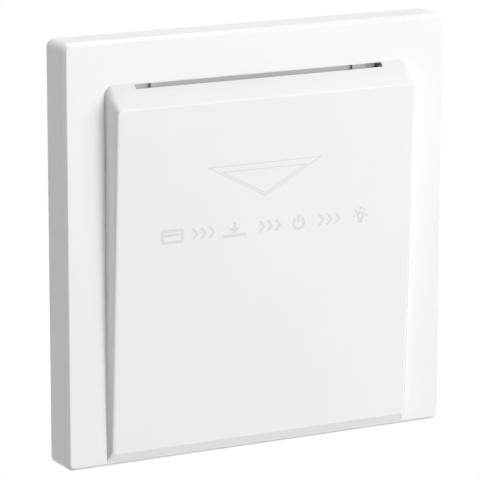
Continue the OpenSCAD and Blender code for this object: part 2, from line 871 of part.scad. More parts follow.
module earth_terminal() {
    half = earth_size / 2;
    color("goldenrod") translate([earth_x, earth_y, 0]) difference() {
        block([-half, -half, -earth_size], [half, half, 0]);
        translate([0, half + cut_over, wire_r - half - earth_wire_drop])
            rotate([90, 0, 0]) cylinder(r = wire_r, h = earth_size + 2 * cut_over);
        translate([0, 0, -earth_size - cut_over])
            cylinder(r = terminal_screw_r + run_fit, h = half + cut_over);
    }
}

module earth_screw() {
    color("lightsteelblue") translate([earth_x, earth_y, -earth_size])
        rotate([180, 0, 0]) screw(terminal_screw_r, earth_size / 2 - earth_tip_gap);
}

module on_wall() {
    rotate([90, 0, 0]) children();
}

on_wall() front_cover();
on_wall() mounting_frame();
on_wall() cover_sockets();
on_wall() card_guide();
on_wall() guide_screws();
on_wall() card_rest();
on_wall() cam_slide();
on_wall() cam_screw();
on_wall() carriage_spring_left();
on_wall() carriage_spring_right();
on_wall() chamber_lid();
on_wall() lid_screws();
on_wall() plunger();
on_wall() switch_housing();
on_wall() contact_arm_line();
on_wall() contact_arm_neutral();
on_wall() moving_contacts();
on_wall() fixed_contacts();
on_wall() pivot_pins();
on_wall() line_in_terminal();
on_wall() line_out_terminal();
on_wall() neutral_in_terminal();
on_wall() neutral_out_terminal();
on_wall() terminal_screws();
on_wall() contact_spring_line();
on_wall() contact_spring_neutral();
on_wall() earth_terminal();
on_wall() earth_screw();
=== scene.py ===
import json
from math import cos, pi, radians, sin, tau

import bmesh
import bpy
from mathutils import Matrix, Vector


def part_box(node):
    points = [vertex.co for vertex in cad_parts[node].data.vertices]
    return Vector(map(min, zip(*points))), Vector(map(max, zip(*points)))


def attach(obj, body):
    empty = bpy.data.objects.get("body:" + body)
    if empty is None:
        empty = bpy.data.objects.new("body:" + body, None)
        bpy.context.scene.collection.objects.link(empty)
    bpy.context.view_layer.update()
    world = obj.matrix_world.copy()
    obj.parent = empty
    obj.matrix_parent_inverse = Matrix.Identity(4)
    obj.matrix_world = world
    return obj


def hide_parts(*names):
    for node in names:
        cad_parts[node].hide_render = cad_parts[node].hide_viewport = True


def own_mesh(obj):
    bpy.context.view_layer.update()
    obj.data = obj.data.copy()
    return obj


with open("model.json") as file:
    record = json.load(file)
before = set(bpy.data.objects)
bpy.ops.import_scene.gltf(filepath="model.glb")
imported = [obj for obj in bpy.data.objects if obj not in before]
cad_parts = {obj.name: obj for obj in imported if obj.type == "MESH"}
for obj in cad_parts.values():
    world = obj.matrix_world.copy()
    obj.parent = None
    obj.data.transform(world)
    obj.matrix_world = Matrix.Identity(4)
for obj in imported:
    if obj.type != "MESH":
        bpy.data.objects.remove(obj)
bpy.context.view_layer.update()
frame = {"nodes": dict(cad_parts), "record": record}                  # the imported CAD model, which nothing here moves
cadNodes = frame["nodes"]
print("frame:", len(cadNodes), "CAD nodes")

# Everything is modelled in millimetres as it hangs on the wall: x right, y up, z out of the wall.
# The row frame is metres with z up and the front towards -y.
mm = 0.001
near = 0.01                        # in millimetres: points this close are in one place
toRow = Matrix(((mm, 0, 0, 0), (0, 0, -mm, 0), (0, mm, 0, 0), (0, 0, 0, 1)))
scene = bpy.context.scene
scene.view_settings.view_transform = "Standard"


# small helpers

def linear(hexColour):
    channels = [int(hexColour[i:i + 2], 16) / 255 for i in (1, 3, 5)]
    return [c / 12.92 if c <= 0.04045 else ((c + 0.055) / 1.055) ** 2.4 for c in channels] + [1]


def addNode(tree, kind, settings={}, values={}, links={}):
    # sockets go by name, or by number where names repeat: a colour mix has its colours in 6 and 7
    node = tree.nodes.new(kind)
    for name, value in settings.items():
        setattr(node, name, value)
    for socket, value in values.items():
        node.inputs[socket].default_value = value
    for socket, source in links.items():
        tree.links.new(source, node.inputs[socket])
    return node


def blankMaterial(name):
    material = bpy.data.materials.new(name)
    material.use_nodes = True
    material.node_tree.nodes.clear()
    return material, material.node_tree


def addObject(name, data):
    made = bpy.data.objects.new(name, data)
    scene.collection.objects.link(made)
    return made


def meshFrom(name, bm):
    mesh = bpy.data.meshes.new(name)
    bm.to_mesh(mesh)
    bm.free()
    return mesh


def solidFrom(name, bm):
    # a closed working solid, still in millimetres
    bmesh.ops.recalc_face_normals(bm, faces=bm.faces)
    return addObject(name, meshFrom(name, bm))


def combine(target, others, operation):
    # Boolean modifiers one after the other, then the result becomes the target's own mesh
    for other in others:
        cut = target.modifiers.new("cut", "BOOLEAN")
        cut.object = other
        cut.operation = operation
        cut.solver = "MANIFOLD"
    bpy.context.view_layer.update()
    evaluated = target.evaluated_get(bpy.context.evaluated_depsgraph_get())
    mesh = bpy.data.meshes.new_from_object(evaluated)
    target.modifiers.clear()
    target.data = mesh
    for other in others:
        bpy.data.objects.remove(other)
    return target


def block(low, high):
    # a plain block between two corners, as the start of a cutter or a rib
    bm = bmesh.new()
    bmesh.ops.create_cube(bm, size=1)
    size = Vector(high) - Vector(low)
    bmesh.ops.scale(bm, vec=size, verts=bm.verts)
    bmesh.ops.translate(bm, vec=(Vector(high) + Vector(low)) / 2, verts=bm.verts)
    return bm


def edgesWhere(bm, test):
    return [e for e in bm.edges if all(test(v.co) for v in e.verts)]


def vertsIn(geom):
    return [g for g in geom if isinstance(g, bmesh.types.BMVert)]


def smoothShade(mesh, angle):
    mesh.polygons.foreach_set("use_smooth", [True] * len(mesh.polygons))
    mesh.set_sharp_from_angle(angle=radians(angle))


def weightNormals(made):
    weighted = made.modifiers.new("weightedNormals", "WEIGHTED_NORMAL")
    weighted.keep_sharp = True
    weighted.weight = 80


def finishPiece(made, body, material, replaces=()):
    made.data.materials.clear()
    made.data.materials.append(material)
    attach(made, body)
    if replaces:
        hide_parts(*replaces)
    return made


# materials

# Moulded ABS with a fine spark-eroded mould skin: the sheen is satin, and the white is very slightly uneven.
# The real grit is about 0.06 mm, too fine for the picture, so it is drawn at grainMm.
coverAbs = dict(name="whiteAbsSparkMoulded", pale="#F0F0EF", deep="#ECECEB", mottleMm=22, grainMm=0.3,
    bump=0.05, bumpMm=0.02, rough=0.30, roughSwing=0.05, ior=1.53)
# The card guide is ABS from a plainer mould, more matt than the front. Its mid grey is painted shade:
# it darkens what shows through the slot, so that the slot reads as one grey line.
guideAbs = dict(name="guideGreyPaintedSlotShade", pale="#B0B0AD", deep="#A6A6A3", mottleMm=14, grainMm=0.35,
    bump=0.10, bumpMm=0.03, rough=0.46, roughSwing=0.08, ior=1.53)
# Glass-filled nylon: matt and pale grey, with flow marks and a coarser skin than ABS.
housingNylon = dict(name="paleGreyNylonMoulded", pale="#D6D6D2", deep="#C9C9C4", mottleMm=9, grainMm=0.45,
    bump=0.18, bumpMm=0.04, rough=0.55, roughSwing=0.10, ior=1.53)
# Natural nylon has no pigment: it is a warm, slightly translucent ivory with a waxy sheen.
mechanismNylon = dict(name="naturalNylonMoulded", pale="#E2DDCE", deep="#D6CFBC", mottleMm=6, grainMm=0.4,
    bump=0.08, bumpMm=0.03, rough=0.42, roughSwing=0.08, ior=1.53)


def mouldedPlastic(look):
    material, tree = blankMaterial(look["name"])
    place = addNode(tree, "ShaderNodeTexCoord").outputs["Object"]
    mottle = addNode(tree, "ShaderNodeTexNoise", values={"Scale": 1 / (look["mottleMm"] * mm), "Detail": 3},
        links={"Vector": place}).outputs["Fac"]
    tint = addNode(tree, "ShaderNodeMix", {"data_type": "RGBA"},
        {6: linear(look["deep"]), 7: linear(look["pale"])}, {"Factor": mottle}).outputs[2]
    grain = addNode(tree, "ShaderNodeTexNoise", values={"Scale": 1 / (look["grainMm"] * mm), "Detail": 2,
        "Roughness": 0.6}, links={"Vector": place}).outputs["Fac"]
    skin = addNode(tree, "ShaderNodeBump", values={"Strength": look["bump"], "Distance": look["bumpMm"] * mm},
        links={"Height": grain}).outputs["Normal"]
    rough = addNode(tree, "ShaderNodeMapRange", values={"To Min": look["rough"] - look["roughSwing"],
        "To Max": look["rough"] + look["roughSwing"]}, links={"Value": grain}).outputs["Result"]
    shader = addNode(tree, "ShaderNodeBsdfPrincipled", values={"IOR": look["ior"]},
        links={"Base Color": tint, "Roughness": rough, "Normal": skin}).outputs["BSDF"]
    addNode(tree, "ShaderNodeOutputMaterial", links={"Surface": shader})
    return material


# Cold-rolled steel sheet, zinc plated: cool grey with fine streaks along the rolling and a faint blue bloom.
frameSteel = dict(name="zincPlatedSheetSteel", pale="#C9CDD0", deep="#A9AFB4", streakMm=(6, 0.25, 0.25),
    mottleMm=7, bump=0.12, bumpMm=0.02, rough=0.34, roughSwing=0.10)
# Cold-headed and zinc-plated screws: brighter than sheet, with a slightly grainy plated skin.
screwSteel = dict(name="zincPlatedScrewSteel", pale="#D2D4D4", deep="#B2B5B8", streakMm=(0.3, 0.3, 0.3),
    mottleMm=2, bump=0.10, bumpMm=0.02, rough=0.30, roughSwing=0.08)
# Drawn spring wire: dark bright steel with die lines along the wire.
springWire = dict(name="drawnSpringWire", pale="#A7A9AB", deep="#85888B", streakMm=(0.2, 0.2, 0.2),
    mottleMm=1.5, bump=0.06, bumpMm=0.01, rough=0.26, roughSwing=0.06)
# Phosphor bronze strip: warm reddish gold, brushed along its length by the rolling.
armBronze = dict(name="rolledPhosphorBronze", pale="#BE8B54", deep="#A87342", streakMm=(0.2, 4, 0.2),
    mottleMm=4, bump=0.10, bumpMm=0.015, rough=0.30, roughSwing=0.08)
# Silver contact rivets: pale, soft and slightly dull from handling.
contactSilver = dict(name="silverContactRivet", pale="#DEDBD4", deep="#C8C4BB", streakMm=(0.3, 0.3, 0.3),
    mottleMm=1, bump=0.06, bumpMm=0.01, rough=0.28, roughSwing=0.06)
# Turned and milled brass: yellow gold with fine cutter marks and slightly browner patches.
terminalBrass = dict(name="machinedBrass", pale="#CDA654", deep="#B48B40", streakMm=(0.25, 0.25, 3),
    mottleMm=5, bump=0.12, bumpMm=0.02, rough=0.27, roughSwing=0.08)
# how much of a metal's change of colour comes from its streaks, and how much from its bloom
metalShares = dict(streaks=0.6, bloom=0.55)


def workedMetal(look):
    material, tree = blankMaterial(look["name"])
    place = addNode(tree, "ShaderNodeTexCoord").outputs["Object"]
    drawn = addNode(tree, "ShaderNodeMapping", values={"Scale": [1 / (s * mm) for s in look["streakMm"]]},
        links={"Vector": place}).outputs["Vector"]
    streaks = addNode(tree, "ShaderNodeTexNoise", values={"Scale": 1, "Detail": 3, "Roughness": 0.65},
        links={"Vector": drawn}).outputs["Fac"]
    bloom = addNode(tree, "ShaderNodeTexNoise", values={"Scale": 1 / (look["mottleMm"] * mm), "Detail": 4},
        links={"Vector": place}).outputs["Fac"]
    streakShare = addNode(tree, "ShaderNodeMath", {"operation": "MULTIPLY"}, {1: metalShares["streaks"]},
        {0: streaks}).outputs["Value"]
    share = addNode(tree, "ShaderNodeMath", {"operation": "MULTIPLY_ADD", "use_clamp": True},
        {1: metalShares["bloom"]}, {0: bloom, 2: streakShare}).outputs["Value"]
    tint = addNode(tree, "ShaderNodeMix", {"data_type": "RGBA"},
        {6: linear(look["deep"]), 7: linear(look["pale"])}, {"Factor": share}).outputs[2]
    rough = addNode(tree, "ShaderNodeMapRange", values={"To Min": look["rough"] - look["roughSwing"],
        "To Max": look["rough"] + look["roughSwing"]}, links={"Value": bloom}).outputs["Result"]
    skin = addNode(tree, "ShaderNodeBump", values={"Strength": look["bump"], "Distance": look["bumpMm"] * mm},
        links={"Height": streaks}).outputs["Normal"]
    shader = addNode(tree, "ShaderNodeBsdfPrincipled", values={"Metallic": 1.0},
        links={"Base Color": tint, "Roughness": rough, "Normal": skin}).outputs["BSDF"]
    addNode(tree, "ShaderNodeOutputMaterial", links={"Surface": shader})
    return material


# Pad-printed ink: a thin pale grey film, a little more matt than the plastic, thinner in fine specks.
signInk = dict(name="paleGreyPadPrint", pale="#E0E0DF", deep="#D9D9D8", speckMm=0.5, rough=0.5,
    ior=1.5)


def padPrint(look):
    material, tree = blankMaterial(look["name"])
    place = addNode(tree, "ShaderNodeTexCoord").outputs["Object"]
    specks = addNode(tree, "ShaderNodeTexNoise", values={"Scale": 1 / (look["speckMm"] * mm), "Detail": 2},
        links={"Vector": place}).outputs["Fac"]
    tint = addNode(tree, "ShaderNodeMix", {"data_type": "RGBA"},
        {6: linear(look["deep"]), 7: linear(look["pale"])}, {"Factor": specks}).outputs[2]
    shader = addNode(tree, "ShaderNodeBsdfPrincipled",
        values={"Roughness": look["rough"], "IOR": look["ior"]}, links={"Base Color": tint}).outputs["BSDF"]
    addNode(tree, "ShaderNodeOutputMaterial", links={"Surface": shader})
    return material


finishes = {
    "cover_abs": mouldedPlastic(coverAbs),
    "guide_abs": mouldedPlastic(guideAbs),
    "housing_nylon": mouldedPlastic(housingNylon),
    "mechanism_nylon": mouldedPlastic(mechanismNylon),
    "frame_steel": workedMetal(frameSteel),
    "screw_steel": workedMetal(screwSteel),
    "spring_steel": workedMetal(springWire),
    "arm_bronze": workedMetal(armBronze),
    "contact_silver": workedMetal(contactSilver),
    "terminal_brass": workedMetal(terminalBrass),
}
ink = padPrint(signInk)
print("materials:", len(finishes) + 1)

# front cover: plate, raised card panel with its sloped roof, slot, hollow back, ribs and pegs

cover = dict(
    side=86, depth=7.7, cornerR=1.6, edgeIn=0.65, edgeBack=0.95, edgeR=0.12, wall=2,
    footX=34.3, frontX=33.5, heelX=34.5, footTop=34.2, roofY=29.75, roofZ=12.285, foldY=-40.3, foldZ=8.86,
    heelY=-42.40, heelZ=7.59, footCorner=2.0, heelCorner=0.6, frontCorner=0.8, sunk=1.2, lipR=0.5,
    foldShare=0.24,                # of lipR, on the two folds across the panel
    hollow=41, panelX=31.5, roofInY=28.94, roofInTop=34.32, panelLow=-38.3, panelBackZ=4.7,
    slotX=27.9, slotGap=0.82, slotY=33.94, slotBackZ=7.97, slotLow=26.9, slotHigh=36.2, slotLip=0.03,
    lipLow=31.5, lipReach=0.04,    # where the slot's lips are looked for
    notchX=27.89, notchTop=33.965,
    behind=1,                      # how far behind the wall's plane the cuts start
    ribX=(-16, 0, 16), ribHalf=0.6, ribLow=-14, sideRib=1.2, sideRibGap=0.1, ribRoot=0.5,
    pegAt=34, pegR=1.5, pegTip=1.5, pegTop=6.7, pegLead=0.4, pegFacets=32,
    cornerSteps=8, rimSteps=3, lipSteps=4, slotLipSteps=2, merge=0.002, smoothAngle=24)
slope = (cover["roofZ"] - cover["foldZ"]) / (cover["roofY"] - cover["foldY"])


def frontZ(y):
    return cover["roofZ"] + slope * (y - cover["roofY"])


def pocketZ(y):
    return cover["slotBackZ"] + slope * (y - cover["slotY"])


def plateSolid():
    c = cover
    half = c["side"] / 2
    shoulder = c["depth"] - c["edgeBack"]
    bm = block((-half, -half, 0), (half, half, shoulder))
    upright = [e for e in bm.edges if abs(e.verts[0].co.z - e.verts[1].co.z) > near]
    bmesh.ops.bevel(bm, geom=upright, offset=c["cornerR"], affect="EDGES", segments=c["cornerSteps"],
        profile=0.5, material=-1)
    # the front stands up on a narrow bevel, and both edges of that bevel are barely rounded
    bm.normal_update()
    front = [f for f in bm.faces if f.normal.z > 0.9]
    bmesh.ops.inset_region(bm, faces=front, thickness=c["edgeIn"], depth=c["edgeBack"], use_boundary=True,
        use_even_offset=True)
    for level in (shoulder, c["depth"]):
        rim = edgesWhere(bm, lambda p: abs(p.z - level) < near)
        bmesh.ops.bevel(bm, geom=rim, offset=c["edgeR"], affect="EDGES", segments=c["rimSteps"], profile=0.5,
            material=-1)
    return solidFrom("plate", bm)


def roundedLoop(bm, corners, topRadius, lowRadius):
    # an outline of two upper and two lower corners, all rounded; only its edges stay
    verts = [bm.verts.new(c) for c in corners]
    bm.faces.new(verts)
    for pair, radius in ((verts[:2], topRadius), (verts[2:], lowRadius)):
        bmesh.ops.bevel(bm, geom=pair, offset=radius, affect="VERTICES", segments=cover["cornerSteps"],
            profile=0.5, material=-1)
    face = [f for f in bm.faces if f.is_valid][-1]
    loop = list(face.edges)
    bmesh.ops.delete(bm, geom=[face], context="FACES_ONLY")
    return loop


def panelSolid():
    c = cover
    bm = bmesh.new()
    weight = bm.edges.layers.float.new("bevel_weight_edge")
    foot = roundedLoop(bm, [(-c["footX"], c["footTop"], c["depth"]), (c["footX"], c["footTop"], c["depth"]),
        (c["heelX"], c["heelY"], c["heelZ"]), (-c["heelX"], c["heelY"], c["heelZ"])],
        c["footCorner"], c["heelCorner"])
    front = roundedLoop(bm, [(-c["frontX"], c["roofY"], c["roofZ"]), (c["frontX"], c["roofY"], c["roofZ"]),
        (c["frontX"], c["foldY"], c["foldZ"]), (-c["frontX"], c["foldY"], c["foldZ"])],
        c["frontCorner"], c["frontCorner"])
    bmesh.ops.bridge_loops(bm, edges=foot + front)
    cap = bmesh.ops.contextual_create(bm, geom=front)["faces"]
    lip = list(cap[0].edges)
    grown = bmesh.ops.extrude_edge_only(bm, edges=foot)["geom"]
    bmesh.ops.translate(bm, vec=(0, 0, -c["sunk"]), verts=vertsIn(grown))
    bmesh.ops.contextual_create(bm, geom=[e for e in grown if isinstance(e, bmesh.types.BMEdge)])
    # the sides are well rounded, the two folds across the panel stay crisp
    for edge in lip:
        run = (edge.verts[0].co - edge.verts[1].co).normalized()
        edge[weight] = 1 - (1 - c["foldShare"]) * abs(run.x)
    made = solidFrom("panel", bm)
    soften = made.modifiers.new("soften", "BEVEL")
    soften.limit_method = "WEIGHT"
    soften.width = c["lipR"]
    soften.segments = c["lipSteps"]
    return made


def prism(name, xLow, xHigh, outline):
    # an outline of (y, z) points drawn along x
    bm = bmesh.new()
    face = bm.faces.new([bm.verts.new((xLow, y, z)) for y, z in outline])
    drawn = bmesh.ops.extrude_face_region(bm, geom=[face])["geom"]
    bmesh.ops.translate(bm, vec=(xHigh - xLow, 0, 0), verts=vertsIn(drawn))
    return solidFrom(name, bm)


def pocketRib(name, xLow, xHigh, clear):
    c = cover
    rows = (c["ribLow"], c["roofInY"])
    back = [(y, pocketZ(y) + clear) for y in rows]
    rooted = [(y, frontZ(y) - c["wall"] + c["ribRoot"]) for y in reversed(rows)]
    return prism(name, xLow, xHigh, back + rooted)


def coverPeg(name, x, y):
    c = cover
    bm = bmesh.new()
    height = c["pegTop"] - c["pegTip"]
    bmesh.ops.create_cone(bm, cap_ends=True, segments=c["pegFacets"], radius1=c["pegR"], radius2=c["pegR"],
        depth=height)
    tip = edgesWhere(bm, lambda p: p.z < 0)
    bmesh.ops.bevel(bm, geom=tip, offset=c["pegLead"], affect="EDGES", segments=c["rimSteps"], profile=0.5,
        material=-1)
    bmesh.ops.translate(bm, vec=(x, y, c["pegTip"] + height / 2), verts=bm.verts)
    return solidFrom(name, bm)


def onSlotLip(p):
    c = cover
    rise = p.z - pocketZ(p.y)
    inSlot = abs(p.x) < c["slotX"] + near and p.y > c["lipLow"]
    return inSlot and min(abs(rise), abs(rise - c["slotGap"])) < c["lipReach"]


def makeCover():
    c = cover
    made = combine(plateSolid(), [panelSolid()], "UNION")
    made.name = "frontCover"
    hollow = c["hollow"]
    inner = solidFrom("plateHollow", block((-hollow, -hollow, -c["behind"]),
        (hollow, hollow, c["depth"] - c["wall"])))
    panelHollow = prism("panelHollow", -c["panelX"], c["panelX"], [
        (c["panelLow"], c["panelBackZ"]),
        (c["panelLow"], frontZ(c["panelLow"]) - c["wall"]),
        (c["roofInY"], frontZ(c["roofInY"]) - c["wall"]),
        (c["roofInTop"], c["panelBackZ"])])
    rows = (c["slotLow"], c["slotHigh"])
    slab = prism("slotSlab", -c["slotX"], c["slotX"],
        [(y, pocketZ(y)) for y in rows] + [(y, pocketZ(y) + c["slotGap"]) for y in reversed(rows)])
    notch = solidFrom("slotNotch", block((-c["notchX"], c["roofInY"], -c["behind"]),
        (c["notchX"], c["notchTop"], c["slotBackZ"])))
    combine(made, [inner, panelHollow, slab, notch], "DIFFERENCE")
    ribs = [pocketRib(f"rib{i}", x - c["ribHalf"], x + c["ribHalf"], c["slotGap"])
        for i, x in enumerate(c["ribX"])]
    outer = c["slotX"] + c["sideRib"]
    ribs += [pocketRib("ribLeft", -outer, -c["slotX"], c["sideRibGap"]),
        pocketRib("ribRight", c["slotX"], outer, c["sideRibGap"])]
    pegs = [coverPeg(f"peg{i}{j}", i * c["pegAt"], j * c["pegAt"]) for i in (-1, 1) for j in (-1, 1)]
    combine(made, ribs + pegs, "UNION")
    bm = bmesh.new()
    bm.from_mesh(made.data)
    bmesh.ops.remove_doubles(bm, verts=bm.verts, dist=c["merge"])
    bmesh.ops.dissolve_degenerate(bm, edges=bm.edges, dist=c["merge"])
    # the slot's two long lips, where the roof meets the slab
    lips = [e for e in edgesWhere(bm, onSlotLip)
        if e.calc_length() > 1 and abs(e.verts[0].co.y - e.verts[1].co.y) < near]
    bmesh.ops.bevel(bm, geom=lips, offset=c["slotLip"], affect="EDGES", segments=c["slotLipSteps"],
        profile=0.5, material=-1)
    bmesh.ops.transform(bm, matrix=toRow, verts=bm.verts)
    bm.to_mesh(made.data)
    bm.free()
    smoothShade(made.data, c["smoothAngle"])
    weightNormals(made)
    return finishPiece(made, "cover", finishes["cover_abs"], ["front_cover"])


frontCover = makeCover()
print("cover:", len(frontCover.data.polygons), "faces")

# signs on the panel: a double-outline arrow and a row of plain pictograms, as a thin ink film

signs = dict(
    arrowOuter=((-13.81, 16.66), (12.31, 16.72), (-0.58, 9.68)),
    arrowInner=((-10.7, 15.52), (9.15, 15.5), (-0.59, 10.23)),
    arrowLine=0.2, rowY=3.4, rowHalf=1.5, line=0.62, sunk=0.02, film=0.03, merge=0.001,
    cornerSteps=5, arcSteps=28,
    cardX=-21.2, cardHalf=2.5, cardCorner=0.6, slotX=-7.3, slotHalf=2.6, headHalf=1.25,
    powerX=7.3, ringDrop=0.1, ringIn=0.05, ringStart=130, ringTurn=280,
    lampX=21.6, rayTurns=(-90, -45, 0, 45, 90),
    chevronRows=(-17.0, -2.0, 11.7), chevronCount=3, chevronStep=1.85, chevronWide=1.0, chevronHalf=1.2,
    # shares of rowHalf, or of line where the name says so
    stripeRise=0.2, stripeInLine=1.05, shaftRise=0.63, shaftHalf=0.37, headTop=0.25, headTip=0.5,
    stroke=0.5, bulbR=0.58, bulbLine=0.75, capHalf=0.36, rayAt=0.98, rayHalf=0.2, rayLine=0.38)
ontoPanel = Matrix(((1, 0, 0, 0), (0, 1, 0, 0), (0, slope, 1, frontZ(0)), (0, 0, 0, 1)))


def inkPatch(bm, points):
    face = bm.faces.new([bm.verts.new((x, y, 0)) for x, y in points])
    face.normal_update()
    return face


def inkOutline(bm, points, line, corner=0):
    face = inkPatch(bm, points)
    if corner:
        bmesh.ops.bevel(bm, geom=face.verts, offset=corner, affect="VERTICES", segments=signs["cornerSteps"],
            profile=0.5, material=-1)
        bm.faces.ensure_lookup_table()
        face = bm.faces[-1]
    bmesh.ops.inset_region(bm, faces=[face], thickness=line, use_boundary=True, use_even_offset=True)
    bmesh.ops.delete(bm, geom=[face], context="FACES_ONLY")


def inkArc(bm, x, y, radius, line, start, turn):
    ends = [bm.verts.new((x + r * cos(start), y + r * sin(start), 0)) for r in (radius - line, radius)]
    bmesh.ops.spin(bm, geom=ends + [bm.edges.new(ends)], cent=(x, y, 0), axis=(0, 0, 1), angle=turn,
        steps=signs["arcSteps"], use_merge=abs(turn) >= tau)


def barCorners(x, y, halfX, halfY):
    return (x - halfX, y - halfY), (x + halfX, y - halfY), (x + halfX, y + halfY), (x - halfX, y + halfY)


def inkBar(bm, x, y, halfX, halfY):
    return inkPatch(bm, barCorners(x, y, halfX, halfY))


def inkPiece(name, bm):
    grown = bmesh.ops.extrude_face_region(bm, geom=list(bm.faces))["geom"]
    bmesh.ops.translate(bm, vec=(0, 0, signs["sunk"] + signs["film"]), verts=vertsIn(grown))
    bmesh.ops.translate(bm, vec=(0, 0, -signs["sunk"]), verts=bm.verts)
    bmesh.ops.remove_doubles(bm, verts=bm.verts, dist=signs["merge"])
    bmesh.ops.recalc_face_normals(bm, faces=bm.faces)
    bmesh.ops.transform(bm, matrix=toRow @ ontoPanel, verts=bm.verts)
    return finishPiece(addObject(name, meshFrom(name, bm)), "cover", ink)


def makeArrow():
    bm = bmesh.new()
    inkOutline(bm, signs["arrowOuter"], signs["arrowLine"])
    inkOutline(bm, signs["arrowInner"], signs["arrowLine"])
    return inkPiece("insertArrow", bm)


def makeSignRow():
    g = signs
    y, half, line = g["rowY"], g["rowHalf"], g["line"]
    bm = bmesh.new()
    # a card with its stripe
    x, wide = g["cardX"], g["cardHalf"]
    inkOutline(bm, barCorners(x, y, wide, half), line, g["cardCorner"])
    inkBar(bm, x, y + half * g["stripeRise"], wide - line * g["stripeInLine"], line / 2)
    # a slot with a small arrow into it
    x, headTop = g["slotX"], y + half * g["headTop"]
    inkBar(bm, x, y - half + line / 2, g["slotHalf"], line / 2)
    inkBar(bm, x, y + half * g["shaftRise"], line / 2, half * g["shaftHalf"])
    inkPatch(bm, ((x - g["headHalf"], headTop), (x, y - half * g["headTip"]), (x + g["headHalf"], headTop)))
    # the usual power sign, an open ring with a stroke in its gap
    x = g["powerX"]
    inkArc(bm, x, y - g["ringDrop"], half - g["ringIn"], line, radians(g["ringStart"]),
        radians(g["ringTurn"]))
    inkBar(bm, x, y + half * g["stroke"], line / 2, half * g["stroke"])
    # a lamp: a ring on its cap, with rays
    x = g["lampX"]
    inkArc(bm, x, y, half * g["bulbR"], line * g["bulbLine"], 0, tau)
    inkBar(bm, x, y - half + line / 2, half * g["capHalf"], line / 2)
    for turn in g["rayTurns"]:
        ray = inkBar(bm, x, y + half * g["rayAt"], line * g["rayLine"], half * g["rayHalf"])
        bmesh.ops.rotate(bm, cent=(x, y, 0), matrix=Matrix.Rotation(radians(turn), 3, "Z"), verts=ray.verts)
    # chevrons between the signs
    high = g["chevronHalf"]
    for first in g["chevronRows"]:
        for i in range(g["chevronCount"]):
            left = first + i * g["chevronStep"]
            tip = left + g["chevronWide"]
            inkPatch(bm, ((left, y - high), (left + line, y - high), (tip + line, y), (left + line, y + high),
                (left, y + high), (tip, y)))
    return inkPiece("pictogramRow", bm)


makeArrow()
makeSignRow()
print("signs: arrow and pictogram row")

# springs: wound wire with a closed turn at each end, in the place of the CAD's plain coils

springs = dict(wireR=0.25, wireFacets=10, perTurn=28, closedPitch=1.04, smoothAngle=60)
# along is the row axis that a spring lies on, and keep the share of its length that is left when pressed
springFits = (
    dict(node="carriage_spring_left", piece="carriageSpringLeft", turns=8,
        joint="card_press", along=2, keep=0.643),
    dict(node="carriage_spring_right", piece="carriageSpringRight", turns=8,
        joint="card_press", along=2, keep=0.643),
    dict(node="contact_spring_line", piece="contactSpringLine", turns=6,
        joint="arm_swing", along=1, keep=0.75),
    dict(node="contact_spring_neutral", piece="contactSpringNeutral", turns=6,
        joint="arm_swing", along=1, keep=0.75))


def windSpring(fit):
    low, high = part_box(fit["node"])
    size = (high - low) / mm
    along = fit["along"]
    wire, perTurn = springs["wireR"], springs["perTurn"]
    coilR = size[0] / 2 - wire
    closed = 2 * wire * springs["closedPitch"]
    active = fit["turns"] - 2      # the turn at each end lies closed
    pitches = (closed, *[(size[along] - 2 * wire - 2 * closed) / active] * active, closed)
    bm = bmesh.new()
    upright = Matrix.Translation((coilR, 0, wire)) @ Matrix.Rotation(pi / 2, 4, "X")
    ring = bmesh.ops.create_circle(bm, segments=springs["wireFacets"], radius=wire, matrix=upright)["verts"]
    wireEnd = bm.faces.new(ring)
    loop = list(ring) + list(wireEnd.edges)
    for pitch in pitches:
        grown = bmesh.ops.spin(bm, geom=loop, cent=(0, 0, 0), axis=(0, 0, 1), angle=tau, steps=perTurn,
            dvec=(0, 0, pitch / perTurn), use_merge=False)["geom_last"]
        loop = [g for g in grown if not isinstance(g, bmesh.types.BMFace)]
    bm.faces.new(vertsIn(loop))
    bmesh.ops.recalc_face_normals(bm, faces=bm.faces)
    if along == 1:
        bmesh.ops.rotate(bm, cent=(0, 0, 0), matrix=Matrix.Rotation(-pi / 2, 3, "X"), verts=bm.verts)
    bmesh.ops.scale(bm, vec=(mm, mm, mm), verts=bm.verts)
    seat = (low + high) / 2
    seat[along] = low[along]
    bmesh.ops.translate(bm, vec=seat, verts=bm.verts)
    mesh = meshFrom(fit["piece"], bm)
    smoothShade(mesh, springs["smoothAngle"])
    made = finishPiece(addObject(fit["piece"], mesh), "base", finishes["spring_steel"],
        [fit["node"]])
    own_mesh(made)


for fit in springFits:
    windSpring(fit)
print("springs:", len(springFits))

# floor, light and camera

stage = dict(floorZ=-0.32, floorHalf=0.3, floorGrey="#E6E6E6", glow=0.3)
# a dim room with a sheet of white paper straight behind, whose edge is soft between two directions
room = dict(dim=0.09, paper=1.0, edgeOut=0.74, edgeIn=0.9)
# round soft boxes: in front and a little to the right, above and behind for the top edges, a small one
# almost level on the left, and a weak one on the right
softBoxes = (
    dict(name="frontBox", turn=18, rise=16, away=1000, across=730, watts=8.6),
    dict(name="topBox", turn=180, rise=70, away=600, across=560, watts=2.25),
    dict(name="leftBox", turn=-95, rise=5, away=800, across=200, watts=1.3),
    dict(name="rightBox", turn=45, rise=12, away=800, across=360, watts=1.25))
camera = dict(lens=255, sensor=36, azimuth=-28.006, elevation=12.527, distance=682.9,
    aim=(-4.349, -7.7, 0.319), clip=(0.01, 20))


def seenRays(tree):
    # 1 for what the camera sees, also in reflections and through clear pieces, and 0 for light on the object
    path = addNode(tree, "ShaderNodeLightPath").outputs
    direct = addNode(tree, "ShaderNodeMath", {"operation": "MAXIMUM"},
        links={0: path["Is Camera Ray"], 1: path["Is Glossy Ray"]}).outputs["Value"]
    return addNode(tree, "ShaderNodeMath", {"operation": "MAXIMUM"},
        links={0: direct, 1: path["Is Transmission Ray"]}).outputs["Value"]


